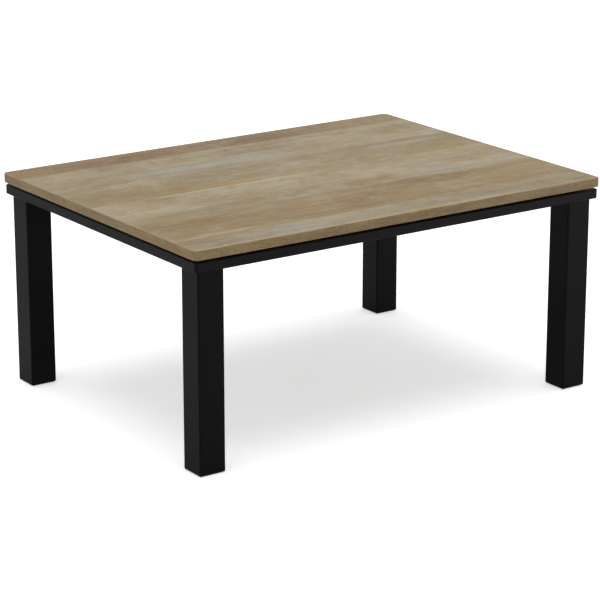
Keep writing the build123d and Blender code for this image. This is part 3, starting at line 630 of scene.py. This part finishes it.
# %% Rubber pads with rounded rims
def rubber():
    finish = Finish("rubber")
    bloom = finish.noise(finish.place, scale=260.0, detail=4.0)
    finish.set({
        "Base Color": finish.mix(tone(30, 30, 31), tone(44, 43, 43), bloom.ramp(0.4, 0.75)),
        "Roughness": bloom.spread(0.6, 0.8),
        "Normal": finish.bump(bloom, 0.00005),
    })
    return finish


PAD_RIM, PAD_CORNER = 0.8 * MM, 3 * MM
pad_rubber = rubber()
for corner in CORNERS:
    node = f"slip_pad_{corner}"
    low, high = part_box(node)
    centre = (low + high) / 2
    half = (high.x - low.x) / 2
    lower_rim = arc((PAD_RIM, low.z + PAD_RIM), (-PAD_RIM, -PAD_RIM), 90, 0)
    upper_rim = arc((PAD_RIM, high.z - PAD_RIM), (-PAD_RIM, PAD_RIM), 0, 90)
    pad = carried_round((half, half), PAD_CORNER, np.array(lower_rim + upper_rim), steps=6)
    placed = moved(pad, (centre.x, centre.y, 0))
    wraps = {"wrap_rows": True, "wrap_columns": False}
    piece(f"rubber_pad_{corner}", placed, pad_rubber, "base", "black_rubber", [node], **wraps)

# %% [markdown]
# # Steel, from zinc to mirror
# Bolts and plates are zinc-plated steel, the heater's pan is galvanised and shows large flat crystals, the
# reflector is polished, and the motor's can has a metallic paint. The inlet's pins are nickelled brass and
# the heating wire is dull from its heat. A metal's colour is its reflection, so what tells them apart is
# how rough each is and how that roughness is patterned.

# %% The metals
def metal(name, light, dark, rough, scale):
    """A metal whose tone and gloss wander together with one noise."""
    finish = Finish(name)
    cloud = finish.noise(finish.stretched(scale), detail=4.0, roughness=0.6)
    finish.set({
        "Base Color": finish.mix(light, dark, cloud.ramp(0.35, 0.7)),
        "Metallic": 1.0,
        "Roughness": cloud.spread(*rough),
        "Normal": finish.bump(cloud, 0.00001),
    })
    return finish


def galvanised():
    """Flat crystals: each cell of a Voronoi pattern has its own grey and its own gloss."""
    finish = Finish("galvanised_sheet")
    cells = finish.node("ShaderNodeTexVoronoi", {}, {"Vector": finish.place, "Scale": 210.0}, "Color")
    shade = finish.axes(cells)[0]
    finish.set({
        "Base Color": finish.mix(tone(172, 176, 180), tone(206, 209, 212), shade),
        "Metallic": 1.0,
        "Roughness": shade.spread(0.3, 0.48),
    })
    return finish


zinc = metal("bright_zinc", tone(206, 208, 210), tone(170, 172, 172), (0.28, 0.4), (300, 300, 300))
pan_steel = galvanised()
mirror = metal("polished_sheet", tone(232, 233, 234), tone(214, 216, 218), (0.1, 0.22), (30, 900, 900))
brass = metal("nickelled_brass", tone(226, 206, 150), tone(196, 170, 112), (0.2, 0.34), (400, 900, 900))
coil_steel = metal("coil_wire", tone(112, 100, 92), tone(66, 58, 54), (0.42, 0.6), (700, 700, 700))
motor_coat = metal("motor_can", tone(150, 153, 156), tone(118, 121, 124), (0.34, 0.46), (90, 90, 900))
dress(zinc, "leg_inserts", "leg_plates", "motor_bracket", "fan_shaft", "tube_brackets")
dress(pan_steel, "heater_casing")
dress(mirror, "heater_reflector")
dress(brass, "inlet_pins")
dress(motor_coat, "fan_motor")

# %% [markdown]
# # Bolts and screws
# A head is a turned form, some of whose rings follow a driver's outline instead of a circle. Each ring has
# a radius, a height, and a share of that outline: none for a round ring, all for the flats of a hexagon or
# the arms of a cross. The outline is a radius as a function of the angle, so each takes one formula.

# %% Rings that follow a hexagon or a cross
def hexagon(angle):
    """Distance to the side of a hexagon with unit corners: cos 30 / cos (angle from the side's middle)."""
    return cos(pi / 6) / np.cos(angle % (pi / 3) - pi / 6)


def cross(angle, arm=0.3):
    """Distance to a plus sign with unit arms: 1 / cos near an arm, else its half width / sin."""
    lean = np.abs((angle + pi / 4) % (pi / 2) - pi / 4)
    return np.minimum(1 / np.cos(lean), arm / np.maximum(np.sin(lean), 1e-6))


def driven(rings, outline):
    """Radius = R ((1 - s) + s outline(a)) for each ring's own radius R, height and share s."""
    radius, height, share = np.asarray(rings, float).T[..., None] * np.array([MM, MM, 1])[:, None, None]
    angle = np.linspace(0, 2 * pi, STEPS_ROUND, endpoint=False)
    radius = radius * ((1 - share) + share * outline(angle))
    return np.stack([radius * np.cos(angle), radius * np.sin(angle), height + 0 * angle], axis=-1)


BOLT_BEVEL = 0.5


def hexagon_head(shank, head, rise, length):
    """A shank from its bevelled tip, then a hexagonal head whose top corners are turned away."""
    return [
        (0, -length, 0), (shank - BOLT_BEVEL, -length, 0), (shank, BOLT_BEVEL - length, 0), (shank, 0, 0),
        (head, 0, 1), (head, rise - BOLT_BEVEL, 1), (0.82 * head, rise, 0), (0, rise, 0),
    ]


def cross_head(shank, head, rise, length, recess, depth):
    """A shank from its tip, a domed head over it, and a cross let into the head's top."""
    flat = recess * 1.15
    dome = [(r, z, 0) for r, z in arc((flat, rise * 0.35), (head - flat, rise * 0.65), 0, 90)]
    return [
        (0, -length, 0), (shank, -length, 0), (shank, 0, 0), (head, 0, 0), *dome,
        (recess, rise, 1), (recess, rise - depth, 1), (0, rise - depth - 0.15, 0),
    ]


# %% Leg bolts, guard screws and mounting screws
LEG_BOLT = {"shank": 2.95, "head": 5.75, "rise": 4, "length": 28}
GUARD_SCREW = {"shank": 1.5, "head": 2.9, "rise": 1.8, "length": 29.5, "recess": 1.7, "depth": 1.1}
MOUNTING_SCREW = {"shank": 1.8, "head": 4, "rise": 2.4, "length": 12, "recess": 2.3, "depth": 1.5}
# two bolts go into each leg, one each side of its middle on a slant, with their heads on the corner plate
BOLT_OFFSET, LEG_X, LEG_Y = 12, 364.5, 264.5
BOLT_SEAT = 340.1
SIGNS = [(-1, -1), (1, -1), (-1, 1), (1, 1)]
shift = BOLT_OFFSET * sin(pi / 4)
bolt_places = [
    (side_x * (LEG_X + way * shift) * MM, side_y * (LEG_Y - way * shift) * MM, BOLT_SEAT * MM)
    for side_x, side_y in SIGNS for way in (1, -1)
]
bolt = driven(hexagon_head(**LEG_BOLT), hexagon)
piece("hexagon_head_bolts", moved(bolt, *bolt_places), zinc, "base", "zinc_steel", ["leg_bolts"])

# the heater's screws are driven from below, so their heads point down
DOWNWARDS = np.array([1, 1, -1])
for name, node, measures, x, y in (
    ("guard_cross_screws", "guard_screws", GUARD_SCREW, 133, 92),
    ("mounting_cross_screws", "heater_mount_screws", MOUNTING_SCREW, 155, 45),
):
    low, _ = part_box(node)
    seat = low.z + measures["rise"] * MM
    places = [(side_x * x * MM, side_y * y * MM, seat) for side_x, side_y in SIGNS]
    screw = driven(cross_head(**measures), cross) * DOWNWARDS
    piece(name, moved(screw, *places), zinc, "base", "zinc_steel", [node])

# %% [markdown]
# # The heating coils
# Inside each quartz tube lies a close coil of resistance wire. A helix goes round its axis by an angle
# that grows with the distance along it, and the wire is a thin tube carried along that helix. Straight
# leads run from the coil's ends out through white ceramic caps. The tubes are quartz, because it stands the
# heat and lets it through.

# %% A helix and its leads
COIL_HALF, COIL_PITCH, COIL_RADIUS = 108 * MM, 3.2 * MM, 2.7 * MM
WIRE_RADIUS, WIRE_SIDES = 0.45 * MM, 6
LEAD_START, LEAD_END = COIL_HALF + 3 * MM, 131 * MM
LEAD_RADIUS, LEAD_SIDES = 0.8 * MM, 8
POINTS_A_TURN = 18


def coil(y, z):
    """Point at x: (x, y + R cos a, z + R sin a) with a = 2 pi x / pitch, then a straight lead at each end."""
    turns = 2 * COIL_HALF / COIL_PITCH
    x = np.linspace(-COIL_HALF, COIL_HALF, int(turns * POINTS_A_TURN) + 1)
    a = 2 * pi * x / COIL_PITCH
    helix = np.stack([x, y + COIL_RADIUS * np.cos(a), z + COIL_RADIUS * np.sin(a)], axis=-1)
    winding = tube(helix, WIRE_RADIUS, (1, 0, 0), WIRE_SIDES)
    leads = []
    for end in (-1, 1):
        # the lead leaves the last turn, reaches the axis and goes on along it
        start = np.array([end * COIL_HALF, y + COIL_RADIUS * cos(a[-1]), z + end * COIL_RADIUS * sin(a[-1])])
        path = np.array([start, (end * LEAD_START, y, z), (end * LEAD_END, y, z)])
        leads.append(tube(path, LEAD_RADIUS, (0, 0.3, 1), LEAD_SIDES))
    return [winding, *leads]


for name in ("front", "back"):
    low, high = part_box(f"quartz_tube_{name}")
    middle = (low + high) / 2
    grids = coil(middle.y, middle.z)
    replaced = [f"heating_coil_{name}"]
    piece(f"wound_coil_{name}", grids, coil_steel, "base", "coil_wire", replaced, crease=60)


# %% Quartz and ceramic
def quartz():
    """Clear fused quartz with faint draw lines along the tube."""
    finish = Finish("quartz")
    draw = finish.noise(finish.stretched((6, 700, 700)), detail=3.0)
    finish.set({
        "Base Color": finish.mix(tone(250, 250, 250), tone(238, 240, 241), draw.ramp(0.4, 0.7)),
        "Transmission Weight": 1.0,
        "IOR": 1.46,
        "Roughness": draw.spread(0.02, 0.1),
    })
    return finish


def ceramic():
    finish = Finish("white_ceramic")
    fleck = finish.noise(finish.place, scale=900.0, detail=4.0, roughness=0.7)
    colour = finish.mix(tone(226, 221, 209), tone(202, 194, 178), fleck.ramp(0.55, 0.8))
    finish.set({
        "Base Color": colour,
        "Roughness": fleck.spread(0.5, 0.65),
        "Normal": finish.bump(fleck, 0.00004),
    })
    return finish


dress(quartz(), "quartz_tube_front", "quartz_tube_back")
dress(ceramic(), "tube_end_caps")

# %% [markdown]
# # Moulded resin
# The guard, the inlet and the terminal block are black moulded resin with a fine spark-eroded texture,
# and the thermostat's and fuse's shells are grey. A mould leaves an even, dull grain: high, even noise
# for relief, and a slower one for the gloss.

# %% Resins
def resin(name, base, lifted, roughness):
    """Grain gives the relief, a slower flow gives the gloss, and both lift the tone a little."""
    finish = Finish(name)
    grain = finish.noise(finish.place, scale=1800.0, detail=2.0)
    flow = finish.noise(finish.place, scale=26.0, detail=3.0)
    finish.set({
        "Base Color": finish.mix(base, lifted, flow.ramp(0.35, 0.7) * 0.6 + grain * 0.4),
        "Roughness": flow.spread(roughness - 0.04, roughness + 0.06),
        "Specular IOR Level": 0.3,
        "Normal": finish.bump(grain, 0.00004),
    })
    return finish


black_resin = resin("black_resin", tone(24, 23, 23), tone(34, 33, 32), 0.5)
grey_resin = resin("grey_resin", tone(112, 114, 114), tone(134, 135, 134), 0.45)
dress(black_resin, "guard_frame", "guard_grille", "inlet_socket", "terminal_block")
dress(grey_resin, "thermostat", "thermal_fuse")

# %% [markdown]
# # The fan rotor
# Seven blades push warm air down through the guard. A blade is a surface of two parameters: how far out
# from the hub, and how far round its thin curved section. Going outwards the section grows wider and lies
# flatter, because the tip moves faster than the root. Each section is wrapped round the shaft's axis, so
# that the blade's ends are parts of cylinders.

# %% Twisted blades on a turned hub
ROTOR_LOW, ROTOR_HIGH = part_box("fan_rotor")
BLADES, HUB_RADIUS, TIP_RADIUS = 7, 13 * MM, 41 * MM
HUB_BOTTOM, HUB_TOP = 308 * MM, 320 * MM
HUB_NOSE, HUB_FLAT, HUB_DISH = 3 * MM, 5 * MM, 0.4 * MM
ROOT_RADIUS = HUB_RADIUS - 1.5 * MM
ROOT_CHORD, ADDED_CHORD = 9 * MM, 16 * MM
ROOT_PITCH, LOST_PITCH = 34, 12
HALF_THICKNESS, TIP_CAMBER, SECTION_DROP = 0.7 * MM, 2.4 * MM, 1.2 * MM
STEPS_OUT, SECTION_STEPS = 14, 24


def blade_grid():
    """Section at radius r: a chord with camber and thickness along it, turned by the pitch in degrees, then
    wrapped round the axis by angle = width / r."""
    out = np.linspace(0, 1, STEPS_OUT)[:, None]
    radius = ROOT_RADIUS + (TIP_RADIUS - ROOT_RADIUS) * out
    chord = ROOT_CHORD + ADDED_CHORD * np.sin(out * pi / 2)
    pitch = np.radians(ROOT_PITCH - LOST_PITCH * out)
    turn = np.linspace(0, 2 * pi, SECTION_STEPS, endpoint=False)[None, :]
    run = 0.5 * np.cos(turn)
    thickness = HALF_THICKNESS * np.sin(turn) * (1 - 0.5 * out)
    camber = TIP_CAMBER * (1 - 4 * run ** 2) * (0.4 + 0.6 * out)
    across, up = chord * run, camber + thickness - SECTION_DROP
    width = across * np.cos(pitch) - up * np.sin(pitch)
    rise = across * np.sin(pitch) + up * np.cos(pitch)
    angle = width / radius
    middle = (HUB_BOTTOM + HUB_TOP) / 2
    return np.stack([radius * np.cos(angle), radius * np.sin(angle), middle + rise], axis=-1)


def rotated(grid, angle):
    """The grid turned about the shaft's axis by an angle."""
    turn = np.array([[cos(angle), sin(angle), 0], [-sin(angle), cos(angle), 0], [0, 0, 1]])
    return grid @ turn


nose = arc((HUB_RADIUS - HUB_NOSE, HUB_BOTTOM + HUB_NOSE), (HUB_NOSE, -HUB_NOSE), 90, 0)
hub_face = [(0, HUB_BOTTOM + HUB_DISH), (HUB_FLAT, HUB_BOTTOM)]
hub = turned([*hub_face, *nose, (HUB_RADIUS, HUB_TOP), (0, HUB_TOP)])
blades = [rotated(blade_grid(), 2 * pi * index / BLADES) for index in range(BLADES)]
rotor = piece("twisted_blade_rotor", [hub, *blades], grey_resin, "fan", "grey_resin", ["fan_rotor"])
rotor_points = np.empty(3 * len(rotor.data.vertices), np.float32)
rotor.data.vertices.foreach_get("co", rotor_points)
heights = rotor_points[2::3]
print(f"rotor z {heights.min():.4f} to {heights.max():.4f}, solid z {ROTOR_LOW.z:.4f} to {ROTOR_HIGH.z:.4f}")

# %% [markdown]
# # Lead wires
# Leads in braided glass sleeves join the inlet, the thermostat, the fuse and the tubes. Each lead is a
# round tube along straight runs whose corners are rounded: near a corner, a quadratic curve leaves one run
# and meets the next.

# %% Leads along rounded runs
# heights in millimetres: at the tubes, under the pan, at the fuse, at the inlet's pins and the thermostat
LOW, HIGH, FUSE, PINS, THERMOSTAT = 316.5, 333.7, 332.1, 318.5, 334.2
SLEEVE_RADIUS = 0.9 * MM
# each lead's corners in millimetres: between the tubes at the left, then inlet and tubes to the terminals
LEADS = [[(-129.5, -66, LOW), (-129.5, 66, LOW)]]
for side in (-1, 1):
    LEADS.append([(134, side * 6, PINS), (123, side * 6, PINS), (123, side * 6, HIGH), (105, side * 6, HIGH)])
    LEADS.append([
        (129.5, side * 66, LOW), (129.5, side * 22, LOW), (123, side * 18, HIGH), (105, side * 18, HIGH),
    ])
# and from the terminals to the thermostat and the fuse
LEADS.append([(87, 18, HIGH), (70, 18, HIGH), (58, 49, HIGH), (-72, 49, HIGH), (-88, 24.3, THERMOSTAT)])
LEADS.append([
    (87, -18, HIGH), (70, -18, HIGH), (58, -49, HIGH), (-40, -49, HIGH), (-63, -16, FUSE), (-79, -16, FUSE),
])
# a bend begins this many millimetres before its corner, and has this many points
BEND, BEND_STEPS = 6.0, 7


def rounded_run(points):
    """At each corner B between A and C: (1-t)^2 P + 2 t (1-t) B + t^2 Q, with P and Q a bend away from B."""
    points = np.asarray(points, float)
    t = np.linspace(0, 1, BEND_STEPS)[:, None]
    run = [points[:1]]
    for before, corner, after in zip(points, points[1:], points[2:]):
        back, on = before - corner, after - corner
        back_length, on_length = np.linalg.norm(back), np.linalg.norm(on)
        reach = min(BEND, 0.45 * back_length, 0.45 * on_length)
        start, stop = corner + back / back_length * reach, corner + on / on_length * reach
        run.append((1 - t) ** 2 * start + 2 * t * (1 - t) * corner + t ** 2 * stop)
    run.append(points[-1:])
    return np.concatenate(run) * MM


def braided_sleeve():
    """Pale glass threads: one fine noise gives their tones and the braid's relief."""
    finish = Finish("wire_sleeve")
    threads = finish.noise(finish.place, scale=1400.0, detail=3.0, roughness=0.6)
    colour = finish.mix(tone(212, 206, 190), tone(176, 168, 150), threads.ramp(0.4, 0.7))
    finish.set({
        "Base Color": colour,
        "Roughness": 0.8,
        "Normal": finish.bump(threads, 0.0002),
    })
    return finish


sleeve = braided_sleeve()
# no lead runs along this slanting direction, so it can serve as every tube's side vector
SLANT = (0.31, 0.53, 0.79)
lead_grids = [tube(rounded_run(points), SLEEVE_RADIUS, SLANT) for points in LEADS]
piece("sleeved_leads", lead_grids, sleeve, "base", "wire_sleeve", ["lead_wires"], crease=70)

# %% [markdown]
# # Floor, light and camera
# The table stands on a white floor in soft, even light from above, with a panel at each side that shows
# only as gloss. The floor is white to the eye but still takes the table's shadow: what the camera and the
# glossy parts see is partly lit and partly glowing, while the light that the floor throws back up comes
# from a plain surface. A long lens at the front left shows the table with little perspective.

# %% Floor
def on_rays(finish, *kinds):
    """One for rays of the given kinds, such as Camera or Glossy, and nought for the rest."""
    rays = finish.node("ShaderNodeLightPath", {}, {}).socket.node
    first, *rest = (Field(finish, rays.outputs[f"Is {kind} Ray"]) for kind in kinds)
    for other in rest:
        first = finish.math("MAXIMUM", first, other)
    return first


def white_floor(finish, lit, glow):
    """A surface that is partly lit, so that it takes shadows, and partly glowing, so that it is white."""
    diffuse = finish.node("ShaderNodeBsdfDiffuse", {}, {"Color": (lit, lit, lit, 1)})
    emission = finish.node("ShaderNodeEmission", {}, {"Color": (0.98, 0.987, 1, 1), "Strength": glow})
    return finish.node("ShaderNodeAddShader", {}, {0: diffuse, 1: emission})


def floor_finish():
    finish = Finish("floor")
    plain = finish.node("ShaderNodeBsdfDiffuse", {}, {"Color": (0.8, 0.8, 0.8, 1)})
    mirrored = on_rays(finish, "Glossy", "Transmission")
    in_gloss = white_floor(finish, lit=0.9, glow=0.1)
    unseen = finish.node("ShaderNodeMixShader", {}, {0: mirrored, 1: plain, 2: in_gloss})
    seen = white_floor(finish, lit=0.92, glow=0.5)
    whole = finish.node("ShaderNodeMixShader", {}, {0: on_rays(finish, "Camera"), 1: unseen, 2: seen})
    finish.tree.links.new(whole.socket, finish.tree.nodes["Material Output"].inputs["Surface"])
    return finish


# half the floor's width in metres
FLOOR_REACH = 30
floor_mesh = bpy.data.meshes.new("floor")
floor_corners = [(x * FLOOR_REACH, y * FLOOR_REACH, 0) for x, y in ((-1, -1), (1, -1), (1, 1), (-1, 1))]
floor_mesh.from_pydata(floor_corners, [], [(0, 1, 2, 3)])
floor_mesh.materials.append(floor_finish().material)
floor = bpy.data.objects.new("floor", floor_mesh)
bpy.context.scene.collection.objects.link(floor)
print("floor:", 2 * FLOOR_REACH, "m wide")


# %% World
class WorldFinish(Finish):
    """The same helpers on the world's node tree."""

    def __init__(self, world):
        world.use_nodes = True
        self.tree = world.node_tree


# the surround lights the table at this strength, and is plain white to the camera and in gloss and glass
SKY_LIGHT = 0.45
world = bpy.data.worlds.new("white_studio")
bpy.context.scene.world = world
surround = WorldFinish(world)
strength = on_rays(surround, "Camera", "Glossy", "Transmission") * (1 - SKY_LIGHT) + SKY_LIGHT
background = surround.tree.nodes["Background"]
background.inputs["Color"].default_value = (1, 1, 1, 1)
surround.tree.links.new(strength.socket, background.inputs["Strength"])
print("light from the surround:", SKY_LIGHT)


# %% Lamps
def lamp(name, kind, place, aim, settings):
    """A lamp that points from its place to what it lights."""
    data = bpy.data.lights.new(name, kind)
    for setting, value in settings.items():
        setattr(data, setting, value)
    made = bpy.data.objects.new(name, data)
    bpy.context.scene.collection.objects.link(made)
    made.location = place
    made.rotation_euler = (Vector(aim) - Vector(place)).to_track_quat("-Z", "Y").to_euler()
    made.visible_camera = False
    print("lamp:", name)
    return made


# a wide sun lights the whole floor alike and draws no hard shadow; a strength of pi would be full white
OVERHEAD_LIGHT, OVERHEAD_WIDTH = 0.5, 50
overhead = {"energy": OVERHEAD_LIGHT * pi, "angle": radians(OVERHEAD_WIDTH)}
lamp("overhead_light", "SUN", (-0.05, -0.08, 3.0), (0, 0, 0), overhead)
# panels at both sides show only as gloss, so that they draw the black faces without lighting the wood
for name, place, aim, settings in (
    ("left_sheen_panel", (-2.6, 0.9, 1.3), (0, 0, 0.2), {"size": 2.0, "energy": 23}),
    ("right_sheen_panel", (2.2, -2.2, 0.5), (0.36, -0.26, 0.2), {"size": 1.2, "energy": 27}),
):
    lamp(name, "AREA", place, aim, settings).visible_diffuse = False

# %% Camera
YAW, PITCH = 34.863, 16.839
CAMERA_PLACE = (-2.2868, -3.2813, 1.3576)
FOCAL_LENGTH = 148.012
camera_data = bpy.data.cameras.new("camera")
camera_data.sensor_width = 36
camera_data.lens = FOCAL_LENGTH
camera = bpy.data.objects.new("camera", camera_data)
bpy.context.scene.collection.objects.link(camera)
camera.location = CAMERA_PLACE
camera.rotation_euler = (radians(90 - PITCH), 0, radians(-YAW))
bpy.context.scene.camera = camera
bpy.context.scene.view_settings.view_transform = "Standard"
print(f"camera: {PITCH} degrees down, {YAW} degrees round, lens {FOCAL_LENGTH} mm")
